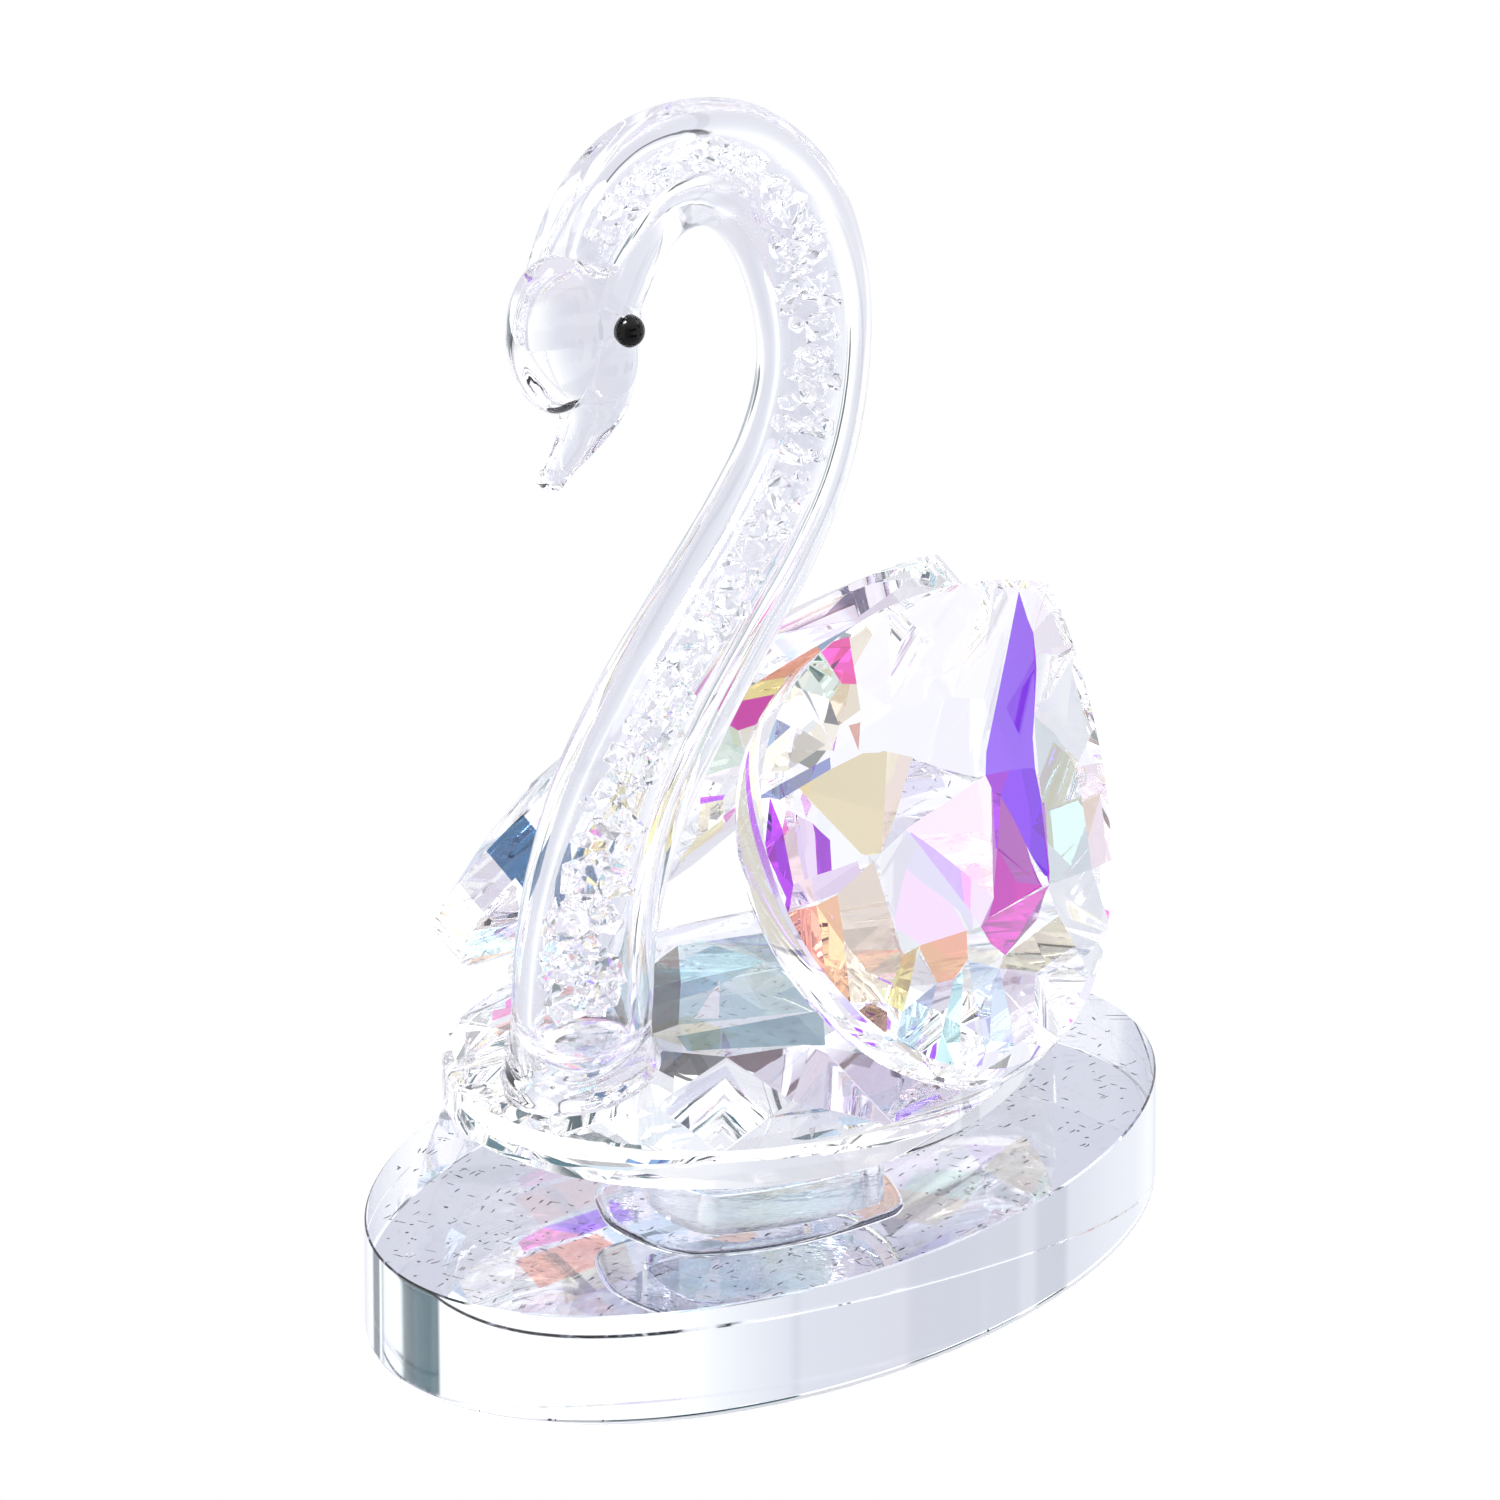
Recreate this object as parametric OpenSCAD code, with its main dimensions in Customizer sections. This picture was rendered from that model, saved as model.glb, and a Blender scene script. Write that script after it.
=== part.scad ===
// Crystal swan figurine: a mirror-backed oval glass base, a faceted almond body on a clear
// block, two faceted almond wings, and a lampworked glass neck filled with crystal chips.
// Millimetres, +Z up, origin at the middle of the underside, the swan looks along -X.

/* [Base] */
// Length of the oval base
base_length = 105; // [95:1:120]
// Width of the oval base
base_width = 64; // [60:1:76]
// Height of the base, pad and mirror included
base_height = 11.6; // [9:0.1:14]
// Polished chamfer on the two rims of the glass
base_chamfer = 0.6; // [0.3:0.1:1]
// Thickness of the silvered film under the glass
mirror_thick = 0.25; // [0.2:0.05:0.4]
// Thickness of the protective pad that the figurine rests on
pad_thick = 0.4; // [0.3:0.05:0.6]

/* [Pedestal] */
// Length of the clear block under the body
pedestal_length = 23; // [21:1:26]
// Width of the clear block
pedestal_width = 17; // [15:1:20]
// Turn of the block on the base
pedestal_turn = -28; // [-30:1:-10]
// Thickness of each clear glue layer
glue_thick = 0.3; // [0.2:0.05:0.4]

/* [Body] */
// Length of the faceted body stone
body_length = 84; // [82:1:86]
// Width of the body stone
body_width = 54; // [52:1:56]
// Height of its vertical girdle band
body_girdle = 4; // [3.5:0.1:4.2]
// Height of its crown above the girdle
body_crown = 4.6; // [4.4:0.1:4.7]
// Depth of its pavilion below the girdle
body_pavilion = 3.6; // [3.4:0.1:3.8]

/* [Wings] */
// Length of a wing stone
wing_length = 68; // [64:1:70]
// Width of a wing stone
wing_width = 43; // [40:1:43]
// Height of its girdle band
wing_girdle = 4; // [3:0.1:4]
// Height of its outer face above the girdle
wing_crown = 5.2; // [4:0.1:5.4]
// Depth of its inner face, towards the body
wing_pavilion = 6; // [5:0.1:6.2]
// Turn of a wing towards the other one at the tail
wing_turn = 17; // [14:1:18]
// Rise of a wing towards its tip
wing_rise = 19.5; // [18:0.5:21]
// Lean of a wing over the back
wing_lean = 47; // [44:1:50]

/* [Neck] */
// Sideways place of the neck's foot on the body
neck_side = 3.5; // [0:0.5:4]
// Radius of the flange at the foot
flange_radius = 8.2; // [7.8:0.1:8.6]
// Slope of the flange, as the crown under it
flange_slope = 17; // [15:1:19]

/* [Head] */
// Radius of the brow
brow_radius = 6.5; // [6:0.1:7]
// Radius of the throat
throat_radius = 4.6; // [4.2:0.1:5]
// Radius of an eye bead
eye_radius = 1.65; // [1.4:0.05:1.8]

/* [Hidden] */

outline_sides = 96;
ball_sides = 28;
tube_sides = 20;
steps_per_station = 3;
flange_sides = 64;
eps = 0.01;

// Everything above the base is placed from the base's top face.
base_top = base_height;
base_foot = pad_thick + mirror_thick;

// Almond outline: larger tip_sharp gives a longer, sharper tip.
tip_sharp = 0.68;
facet_count = 12;

// The body lies with its round end forward.
body_front = -37;
body_centre_x = body_front + body_length / 2;
pavilion_z = base_top + 2 * glue_thick + 4.3;
body_mid_z = pavilion_z + body_pavilion + body_girdle / 2;
pedestal_centre = [-13.5, -9];
pedestal_corner = 6;
glue_spread = 1.2;

// Middle of the left wing, above the base's top face. The right wing is glued a little further back.
wing_centre = [10.2, -14.8, 35.3];
right_wing_back = 1;
wing_glue_spot = [4, -25.5, 14.2];
wing_glue_radii = [11, 3.4];

// Neck stations, foot to head: [x, y, height above the base top, outer radius, bore radius].
neck_stations = [
    [-27.4, neck_side,        11.8, 7.0, 5.0],
    [-27.2, neck_side * 0.95, 22.2, 7.0, 5.0],
    [-26.9, neck_side * 0.75, 32.1, 6.9, 4.5],
    [-23.6, neck_side * 0.45, 42.4, 6.9, 3.9],
    [-17.2, neck_side * 0.2,  50.8, 6.8, 3.6],
    [ -8.9, neck_side * 0.05, 58.2, 6.5, 3.5],
    [ -1.0, 0,  64.5, 6.2, 3.5],
    [  5.4, 0,  71.2, 5.8, 3.4],
    [  8.5, 0,  79.1, 5.6, 3.3],
    [  7.8, 0,  87.9, 6.0, 3.4],
    [  3.2, 0,  97.0, 6.4, 3.0],
    [ -4.5, 0, 103.5, 6.4, 2.6],
    [-13.2, 0, 106.5, 6.2, 2.4],
    [-21.4, 0, 106.5, 6.2, 2.3],
    [-28.0, 0, 103.0, 6.1, 2.2],
    [-32.4, 0,  97.0, 5.8, 1.2]];
outer_radius = 3;
bore_radius = 4;
bore_start = 0.9;
bore_end = 14.0;
neck_end = 14.75;
flange_centre = [-27.4, 16.1];
flange_thick = 1.4;
flange_fillet = 1.6;

// Head and beak, [x, height above the base top].
brow = [-33.2, 96.2];
throat = [-30.2, 89.6];
beak_root = [-29.4, 87.0];
beak_bend = [-32.6, 83.5];
beak_tip = [-36.6, 81.0];
beak_radii = [3.3, 2.1, 1.2];
eye_place = [-32.2, 95.8];
eye_sink = 0.7;

function station_index(u) = max(0, min(len(neck_stations) - 2, floor(u)));
function station(i) = neck_stations[max(0, min(len(neck_stations) - 1, i))];
function blend4(a, b, c, d, t) =
    0.5 * (2 * b + (c - a) * t + (2 * a - 5 * b + 4 * c - d) * t * t + (3 * b - a - 3 * c + d) * t * t * t);
function neck_at(u) =
    let (i = station_index(u))
    blend4(station(i - 1), station(i), station(i + 1), station(i + 2), u - i);
// Unit vector along the neck, in the plane of the swan.
function neck_along(u) =
    let (a = neck_at(u - 0.02), b = neck_at(u + 0.02), d = [b[0] - a[0], 0, b[2] - a[2]])
    d / norm(d);
function neck_across(u) = let (d = neck_along(u)) [d[2], 0, -d[0]];
function neck_point(u, across, side) =
    let (p = neck_at(u))
    [p[0], p[1], base_top + p[2]] + across * neck_across(u) + side * [0, 1, 0];

// Almond outline, tip along +x, round end along -x, widest at almond_heart.
function almond_heart(length) = -length / 2 * tip_sharp / (2 + tip_sharp);
function almond_swell(a) = sin(a) * pow(abs(sin(a / 2)), tip_sharp);
function almond_point(length, width, a) =
    [length / 2 * cos(a), width / 2 * almond_swell(a) / almond_swell(acos(-tip_sharp / (2 + tip_sharp)))];
// A ring of facet corners: the outline drawn in towards the heart, at height z.
function almond_ring(length, width, scale, z, turn) = [
    for (i = [0 : facet_count - 1])
        let (p = almond_point(length, width, 360 / facet_count * (i + turn)), h = almond_heart(length))
        [h + (p[0] - h) * scale, p[1] * scale, z]];

module almond_outline(length, width) {
    polygon([for (i = [0 : outline_sides - 1]) almond_point(length, width, 360 / outline_sides * i)]);
}

// Convex hull of loose points.
module point_hull(points) {
    hull() polyhedron(points, [[for (i = [0 : len(points) - 1]) i]]);
}

// Faceted almond: flat tables, a ring of star facets, and a smooth girdle of the given height.
module almond_stone(length, width, girdle, crown, pavilion, table, under_table) {
    rim = 1.045;
    break_in = 0.78;
    break_up = 0.56;
    under_in = 1 - (1 - under_table) * 0.4;
    top = girdle / 2;
    intersection() {
        translate([0, 0, -top - pavilion - 1])
            linear_extrude(girdle + crown + pavilion + 2) almond_outline(length, width);
        point_hull(concat(
            almond_ring(length, width, table, top + crown, 0),
            almond_ring(length, width, break_in, top + crown * break_up, 0.5),
            almond_ring(length, width, rim, top - 0.2, 0),
            almond_ring(length, width, rim, 0.2 - top, 0),
            almond_ring(length, width, under_in, -top - pavilion * break_up, 0.5),
            almond_ring(length, width, under_table, -top - pavilion, 0)));
    }
}

// Oval plate with chamfered rims.
module oval_plate(height, chamfer) {
    module oval(inset) {
        polygon([for (i = [0 : outline_sides - 1])
            [(base_length / 2 - inset) * cos(360 / outline_sides * i),
             (base_width / 2 - inset) * sin(360 / outline_sides * i)]]);
    }
    hull() {
        translate([0, 0, chamfer]) linear_extrude(height - 2 * chamfer) oval(0);
        linear_extrude(height) oval(chamfer);
    }
}

module base_pad() {
    color("whitesmoke") oval_plate(pad_thick, 0.1);
}

module mirror_backing() {
    color("silver") translate([0, 0, pad_thick]) oval_plate(mirror_thick, 0.05);
}

module base_glass() {
    color("lavender", 0.6) translate([0, 0, base_foot]) oval_plate(base_top - base_foot, base_chamfer);
}

module block_outline(grow) {
    offset(r = pedestal_corner + grow)
        square([pedestal_length, pedestal_width] - [1, 1] * 2 * pedestal_corner, center = true);
}

module on_block(z) {
    translate([pedestal_centre[0], pedestal_centre[1], z]) rotate([0, 0, pedestal_turn]) children();
}

module pedestal_glue() {
    color("azure", 0.5) on_block(base_top) linear_extrude(glue_thick) block_outline(glue_spread);
}

module pedestal() {
    color("aliceblue", 0.6) on_block(base_top + glue_thick)
        linear_extrude(pavilion_z - base_top - 2 * glue_thick) block_outline(0);
}

module body_glue() {
    color("azure", 0.5) on_block(pavilion_z - glue_thick) linear_extrude(glue_thick) block_outline(-0.5);
}

module body_crystal() {
    color("lightcyan", 0.6) translate([body_centre_x, 0, body_mid_z])
        almond_stone(body_length, body_width, body_girdle, body_crown, body_pavilion, 0.5, 0.7);
}

module wing() {
    translate(wing_centre + [0, 0, base_top])
        rotate([0, 0, wing_turn]) rotate([0, -wing_rise, 0]) rotate([wing_lean, 0, 0])
            almond_stone(wing_length, wing_width, wing_girdle, wing_crown, wing_pavilion, 0.5, 0.42);
}

module wing_left() {
    color("plum", 0.6) wing();
}

module wing_right() {
    color("paleturquoise", 0.6) translate([right_wing_back, 0, 0]) mirror([0, 1, 0]) wing();
}

// Clear glue between a wing and the crown of the body.
module glue_blob() {
    translate(wing_glue_spot + [0, 0, base_top])
        scale([wing_glue_radii[0], wing_glue_radii[1], wing_glue_radii[1]])
            sphere(1, $fn = ball_sides);
}

module wing_glue_left() {
    color("azure", 0.5) difference() {
        glue_blob();
        body_crystal();
        wing_left();
    }
}

module wing_glue_right() {
    color("azure", 0.5) difference() {
        mirror([0, 1, 0]) glue_blob();
        body_crystal();
        wing_right();
    }
}

// Places children on the flange's underside, which slopes as the crown does.
module on_flange() {
    translate([flange_centre[0], neck_side, base_top + flange_centre[1]])
        rotate([0, -flange_slope, 0]) children();
}

module neck_glue() {
    glue_depth = 3.5;
    color("azure", 0.5) difference() {
        on_flange() translate([0, 0, -glue_depth])
            cylinder(h = glue_depth, r = flange_radius - 0.2, $fn = flange_sides);
        body_crystal();
    }
}

// A tube along the neck between two stations: radius_index picks the outer or the bore radius.
module neck_sweep(from, to, radius_index) {
    rings = ceil((to - from) * steps_per_station);
    us = [for (k = [0 : rings]) from + (to - from) * k / rings];
    points = [for (u = us) for (j = [0 : tube_sides - 1])
        let (r = neck_at(u)[radius_index], a = 360 / tube_sides * j)
        neck_point(u, r * cos(a), r * sin(a))];
    foot = [[for (j = [0 : tube_sides - 1]) j]];
    tip = [[for (j = [tube_sides - 1 : -1 : 0]) rings * tube_sides + j]];
    walls = [for (k = [0 : rings - 1]) for (j = [0 : tube_sides - 1])
        let (a = k * tube_sides + j, b = k * tube_sides + (j + 1) % tube_sides)
        each [[a, a + tube_sides, b + tube_sides], [a, b + tube_sides, b]]];
    polyhedron(points, concat(foot, walls, tip));
}

module flange_profile() {
    shoulder = neck_stations[0][outer_radius] + 0.2;
    polygon([
        [0, 0],
        [flange_radius - 0.4, 0],
        [flange_radius, 0.5],
        [flange_radius - 0.2, flange_thick],
        [shoulder, flange_thick + flange_fillet],
        [0, flange_thick + flange_fillet]]);
}

module neck_tube() {
    foot_cut = 20;
    color("white", 0.5) difference() {
        union() {
            neck_sweep(0, neck_end, outer_radius);
            on_flange() rotate_extrude($fn = flange_sides) flange_profile();
        }
        on_flange() translate([0, 0, -foot_cut]) cylinder(h = foot_cut, r = foot_cut);
        neck_sweep(bore_start, bore_end, bore_radius);
    }
}

module head_ball(place, radius) {
    translate([place[0], 0, base_top + place[1]]) sphere(radius, $fn = ball_sides);
}

module head() {
    color("white", 0.5) difference() {
        hull() {
            head_ball(brow, brow_radius);
            head_ball(throat, throat_radius);
        }
        neck_sweep(13, neck_end, outer_radius);
        beak_shape();
        for (side = [-1, 1]) eye(side, eye_radius);
    }
}

module beak_shape() {
    hull() {
        head_ball(beak_root, beak_radii[0]);
        head_ball(beak_bend, beak_radii[1]);
    }
    hull() {
        head_ball(beak_bend, beak_radii[1]);
        head_ball(beak_tip, beak_radii[2]);
    }
}

module beak() {
    color("white", 0.5) beak_shape();
}

module eye(side, radius) {
    translate([eye_place[0], side * (brow_radius - eye_sink), base_top + eye_place[1]])
        sphere(radius, $fn = ball_sides);
}

module eye_left() {
    color("black") eye(-1, eye_radius);
}

module eye_right() {
    color("black") eye(1, eye_radius);
}

// Chips fill the bore in layers of three, each chip a skewed octahedron inside its own ball.
chip_gap = 0.36;
chip_share = 0.45;
function chip_corner(k, size, seed) =
    let (tilt = rands(0.7, 1, 6, seed), axis = k % 3, sign = k < 3 ? 1 : -1)
    [for (a = [0 : 2]) (a == axis ? sign * size * tilt[k] : 0)];
module chip(size, seed) {
    turn = rands(0, 360, 3, seed + 0.5);
    rotate(turn) polyhedron([for (k = [0 : 5]) chip_corner(k, size, seed)],
        [[0, 2, 1], [0, 1, 5], [0, 5, 4], [0, 4, 2], [3, 1, 2], [3, 5, 1], [3, 4, 5], [3, 2, 4]]);
}

module chip_layers(from, to) {
    layers = floor((to - from) / chip_gap);
    for (k = [0 : layers - 1]) {
        u = from + (k + 0.5) * chip_gap;
        bore = neck_at(u)[bore_radius];
        size = bore * chip_share;
        for (j = [0 : 2]) {
            a = 120 * j + 60 * k;
            translate(neck_point(u, (bore - size - 0.1) * cos(a), (bore - size - 0.1) * sin(a)))
                chip(size * 0.98, 7 * k + j + 100 * from);
        }
    }
}

module chips_foot() {
    color("white") chip_layers(1.2, 3.1);
}

module chips_lower() {
    color("white") chip_layers(3.4, 5.6);
}

module chips_middle() {
    color("white") chip_layers(5.9, 8.1);
}

module chips_upper() {
    color("white") chip_layers(8.4, 10.4);
}

module chips_arch() {
    color("white") chip_layers(10.7, 13.8);
}

// Round brilliant between the chip groups, seen as a larger round stone.
module chaton(u) {
    bore = neck_at(u)[bore_radius];
    r = bore * 0.62;
    p = neck_point(u, 0, 0);
    d = neck_along(u);
    translate(p) rotate([0, acos(d[2]) * sign(d[0] + eps), 0]) union() {
        cylinder(h = r * 0.3, r1 = r, r2 = r * 0.6, $fn = 10);
        translate([0, 0, -r * 0.7]) cylinder(h = r * 0.7, r1 = r * 0.08, r2 = r, $fn = 10);
    }
}

module chatons() {
    color("snow") for (u = [3.25, 5.75, 8.25, 10.55]) chaton(u);
}

base_pad();
mirror_backing();
base_glass();
pedestal_glue();
pedestal();
body_glue();
body_crystal();
wing_left();
wing_right();
wing_glue_left();
wing_glue_right();
neck_glue();
neck_tube();
head();
beak();
eye_left();
eye_right();
chips_foot();
chips_lower();
chips_middle();
chips_upper();
chips_arch();
chatons();
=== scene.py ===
import bmesh
import bpy
import math
import random
from mathutils import Matrix, Vector, noise
from mathutils.geometry import delaunay_2d_cdt
from mathutils.kdtree import KDTree


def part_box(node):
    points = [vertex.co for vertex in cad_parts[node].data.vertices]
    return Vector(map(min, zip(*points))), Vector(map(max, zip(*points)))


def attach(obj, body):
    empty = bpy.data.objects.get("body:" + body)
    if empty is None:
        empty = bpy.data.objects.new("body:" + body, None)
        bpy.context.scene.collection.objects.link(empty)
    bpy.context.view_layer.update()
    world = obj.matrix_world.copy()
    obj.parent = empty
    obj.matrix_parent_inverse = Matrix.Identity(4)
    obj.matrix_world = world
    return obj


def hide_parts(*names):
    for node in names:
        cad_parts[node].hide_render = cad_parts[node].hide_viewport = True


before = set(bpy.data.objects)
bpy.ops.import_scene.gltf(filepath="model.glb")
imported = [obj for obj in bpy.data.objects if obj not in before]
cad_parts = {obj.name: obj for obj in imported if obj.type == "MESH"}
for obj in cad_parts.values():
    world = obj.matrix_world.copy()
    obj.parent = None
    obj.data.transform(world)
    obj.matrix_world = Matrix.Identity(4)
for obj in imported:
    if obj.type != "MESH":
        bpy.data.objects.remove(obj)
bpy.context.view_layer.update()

# Lengths are in millimetres up to the point where a mesh is made.
MM = 0.001
base_low, base_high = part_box("base_glass")
BASE_TOP = base_high.z / MM
GLASS_FOOT = base_low.z / MM
PAD_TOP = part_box("base_pad")[1].z / MM
# Pieces of glass and glue that are bonded overlap by this much, so no air lies between them.
SINK = 0.02


# -------- materials
LAMPWORK_IOR = 1.48
OPTICAL_IOR = 1.52
CHIP_IOR = 1.55
FILM_IOR = 1.7
FILM_NM = 330.0


def surface_input(material, name):
    return material.node_tree.nodes["Principled BSDF"].inputs[name]


def principled(name, **values):
    material = bpy.data.materials.new(name)
    material.use_nodes = True
    for key, value in values.items():
        surface_input(material, key.replace("_", " ")).default_value = value
    return material


def glass(name, tint, ior, film=0.0):
    """Clear or tinted glass; film is the thickness of its coating in nanometres."""
    # A Principled surface passes the square root of its colour, so the wanted tint is squared.
    squared = (*[t * t for t in tint], 1.0)
    return principled(
        name, Base_Color=squared, Roughness=0.0, IOR=ior, Transmission_Weight=1.0,
        Thin_Film_Thickness=film, Thin_Film_IOR=FILM_IOR,
    )


def feed(tree, socket, value):
    """Links a socket to another one, or sets it to a plain value."""
    if isinstance(value, bpy.types.NodeSocket):
        tree.links.new(value, socket)
    else:
        socket.default_value = value


def add(tree, kind, **values):
    """A new node, its inputs fed by name."""
    node = tree.nodes.new("ShaderNode" + kind)
    for key, value in values.items():
        feed(tree, node.inputs[key.replace("_", " ")], value)
    return node


def maths(tree, operation, *values, kind="Math"):
    node = add(tree, kind)
    node.operation = operation
    for socket, value in zip(node.inputs, values):
        feed(tree, socket, value)
    return node.outputs[0]


def blend(tree, factor, first, second):
    node = add(tree, "Mix")
    node.data_type = "RGBA"
    feed(tree, node.inputs["Factor"], factor)
    feed(tree, node.inputs["A"], first)
    feed(tree, node.inputs["B"], second)
    return node.outputs["Result"]


def cloud(tree, scale):
    """A noise over the object's surface."""
    return add(tree, "TexNoise", Vector=add(tree, "TexCoord").outputs["Object"], Scale=scale)


def vary_roughness(material, scale, low, high):
    tree = material.node_tree
    spread = add(tree, "MapRange", Value=cloud(tree, scale).outputs["Fac"], To_Min=low, To_Max=high)
    feed(tree, surface_input(material, "Roughness"), spread.outputs["Result"])


def waves(material, scale, depth):
    """Faint unevenness of a surface, depth in metres."""
    tree = material.node_tree
    bump = add(tree, "Bump", Height=cloud(tree, scale).outputs["Fac"], Distance=depth)
    feed(tree, surface_input(material, "Normal"), bump.outputs["Normal"])


CLEAR = glass("clear_lampwork_glass", (0.985, 0.985, 0.995), LAMPWORK_IOR)
BASE_GLASS = glass("base_optical_glass", (0.98, 0.985, 0.995), OPTICAL_IOR)
GLUE = glass("clear_glue", (0.99, 0.99, 1.0), OPTICAL_IOR)
CHIP = glass("chip_crystal", (1.0, 1.0, 1.0), CHIP_IOR)
PAD = principled("pad_vinyl", Base_Color=(0.82, 0.83, 0.86, 1.0))
BEAD = principled("black_bead", Base_Color=(0.002, 0.002, 0.002, 1.0), Specular_IOR_Level=0.2)
waves(CLEAR, 220.0, 0.00002)
waves(GLUE, 400.0, 0.00003)
vary_roughness(PAD, 900.0, 0.45, 0.75)
waves(PAD, 2500.0, 0.00005)
vary_roughness(BEAD, 1500.0, 0.05, 0.16)

# What each kind of facet lets through. The grey, dark, navy, steel, teal, mid_teal and deep_teal kinds are
# painted shade: the dark and teal-grey surroundings that a clear facet shows, put in as a tint of its
# glass.
TINTS = {
    "clear": (1.0, 1.0, 1.0),
    "pearl": (1.0, 1.0, 1.0),
    "white": (1.0, 1.0, 1.0),
    "lavender": (0.80, 0.78, 0.86),
    # grey and dark: painted shade of the surroundings seen in a facet.
    "grey": (0.62, 0.62, 0.66),
    "dark": (0.16, 0.17, 0.18),
    "brown": (0.42, 0.28, 0.18),
    "beige": (0.80, 0.68, 0.42),
    "cream": (0.90, 0.84, 0.66),
    "pink": (1.0, 0.88, 0.94),
    "lilac": (0.93, 0.80, 0.98),
    "violet": (0.30, 0.06, 0.96),
    "purple": (0.46, 0.05, 0.82),
    "plum": (0.50, 0.03, 0.52),
    "magenta": (0.76, 0.04, 0.56),
    "mauve": (0.68, 0.35, 0.75),
    "hot_pink": (1.0, 0.10, 0.60),
    "salmon": (0.95, 0.42, 0.30),
    "orange": (1.0, 0.62, 0.36),
    "yellow": (1.0, 0.90, 0.42),
    "green": (0.78, 0.95, 0.82),
    "sky": (0.72, 0.87, 1.0),
    "cyan": (0.70, 0.96, 1.0),
    # navy, steel and the three teals: painted shade of the dark teal surroundings seen in a facet.
    "blue": (0.20, 0.35, 0.62),
    "navy": (0.07, 0.15, 0.27),
    "steel": (0.30, 0.45, 0.62),
    "teal": (0.62, 0.77, 0.80),
    "mid_teal": (0.40, 0.55, 0.60),
    "deep_teal": (0.12, 0.20, 0.22),
}
# Kinds without the coating's thin film.
UNCOATED = "clear white grey dark teal mid_teal violet purple plum magenta navy beige".split()
COATED = {
    key: glass("facet_" + key, tint, OPTICAL_IOR, 0.0 if key in UNCOATED else FILM_NM)
    for key, tint in TINTS.items()
}

MARK_TONE = (0.10, 0.10, 0.12, 1.0)
FILM_TONE = (0.88, 0.88, 0.92, 1.0)
FILM_TONE_AT_A_SLANT = (0.98, 0.99, 1.0, 1.0)
# The largest Facing of a look that counts as down on the film.
STEEP_ENOUGH = 0.45
# How far the noise bends the fibres, in metres.
DRIFT = (0.0012, 0.0012, 0.0)
# Cell scale, stretch across the fibre, reach of the mark inside its cell, share of cells that have one.
MARK_LAYERS = (
    (420.0, (1.0, 7.0, 1.0), 0.26, 0.06),
    (460.0, (6.0, 1.0, 1.0), 0.24, 0.05),
    (900.0, (1.0, 1.0, 1.0), 0.15, 0.10),
)


def mirror_material():
    """Silver film with small dark fibres and specks in it."""
    made = principled("mirror_film", Metallic=1.0, Roughness=0.02)
    tree = made.node_tree
    place = add(tree, "TexCoord").outputs["Object"]
    drift = cloud(tree, 500.0).outputs["Color"]
    shift = maths(tree, "MULTIPLY_ADD", drift, DRIFT, place, kind="VectorMath")
    total = 0.0
    for scale, stretch, reach, share in MARK_LAYERS:
        squeezed = maths(tree, "MULTIPLY", shift, stretch, kind="VectorMath")
        cells = add(tree, "TexVoronoi", Vector=squeezed, Scale=scale)
        cells.voronoi_dimensions = "2D"
        split = add(tree, "SeparateColor", Color=cells.outputs["Color"])
        near = maths(tree, "LESS_THAN", cells.outputs["Distance"], reach)
        rare = maths(tree, "LESS_THAN", split.outputs["Red"], share)
        total = maths(tree, "MAXIMUM", total, maths(tree, "MULTIPLY", near, rare))
    # The marks and the film's grey show in the look down on the film, not in the glancing one
    # through the edge of the slab.
    slant = add(tree, "LayerWeight", Blend=0.5).outputs["Facing"]
    steep = maths(tree, "LESS_THAN", slant, STEEP_ENOUGH)
    film = blend(tree, steep, FILM_TONE_AT_A_SLANT, FILM_TONE)
    marked = maths(tree, "MULTIPLY", steep, total)
    feed(tree, surface_input(made, "Base Color"), blend(tree, marked, film, MARK_TONE))
    return made


MIRROR = mirror_material()


# -------- mesh building
def piece(name, points, faces, materials, nodes, face_materials=None, normals=None, smooth=False):
    mesh = bpy.data.meshes.new(name)
    mesh.from_pydata([Vector(p) * MM for p in points], [], faces)
    for material in materials:
        mesh.materials.append(material)
    if face_materials:
        mesh.polygons.foreach_set("material_index", face_materials)
    mesh.polygons.foreach_set("use_smooth", [smooth or normals is not None] * len(faces))
    mesh.update()
    if normals is not None:
        mesh.normals_split_custom_set(normals)
    thing = placed(name, mesh)
    declare(thing, nodes)
    return thing


def placed(name, data):
    thing = bpy.data.objects.new(name, data)
    bpy.context.scene.collection.objects.link(thing)
    return thing


def declare(thing, nodes):
    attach(thing, "root")
    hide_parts(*nodes)


def circle(count):
    """The angles of count points round a circle."""
    return [2 * math.pi * i / count for i in range(count)]


def stacked_rings(rings, closed=True):
    """Points and faces of a body made of rings of equal count, capped at both ends."""
    count = len(rings[0])
    points = [p for ring in rings for p in ring]
    faces = []
    for k in range(len(rings) - 1):
        for j in range(count):
            n = (j + 1) % count
            faces.append((k * count + j, k * count + n, (k + 1) * count + n, (k + 1) * count + j))
    if closed:
        faces.append(tuple(reversed(range(count))))
        faces.append(tuple((len(rings) - 1) * count + j for j in range(count)))
    return points, faces


def sharp_edges(thing, degrees):
    thing.data.set_sharp_from_angle(angle=math.radians(degrees))


# -------- base
OVAL_SIDES = 256


def oval_ring(half_length, half_width, z):
    return [(half_length * math.cos(a), half_width * math.sin(a), z) for a in circle(OVAL_SIDES)]


def oval_plate(name, node, low, high, foot, chamfer, material):
    """An oval plate as wide as its node, chamfered by foot below and by chamfer above."""
    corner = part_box(node)[1]
    a = corner.x / MM
    b = corner.y / MM
    rings = [
        oval_ring(a - foot, b - foot, low),
        oval_ring(a, b, low + foot),
        oval_ring(a, b, high - chamfer),
        oval_ring(a - chamfer, b - chamfer, high),
    ]
    points, faces = stacked_rings(rings)
    made = piece(name, points, faces, [material], [node], smooth=True)
    sharp_edges(made, 20)


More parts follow.
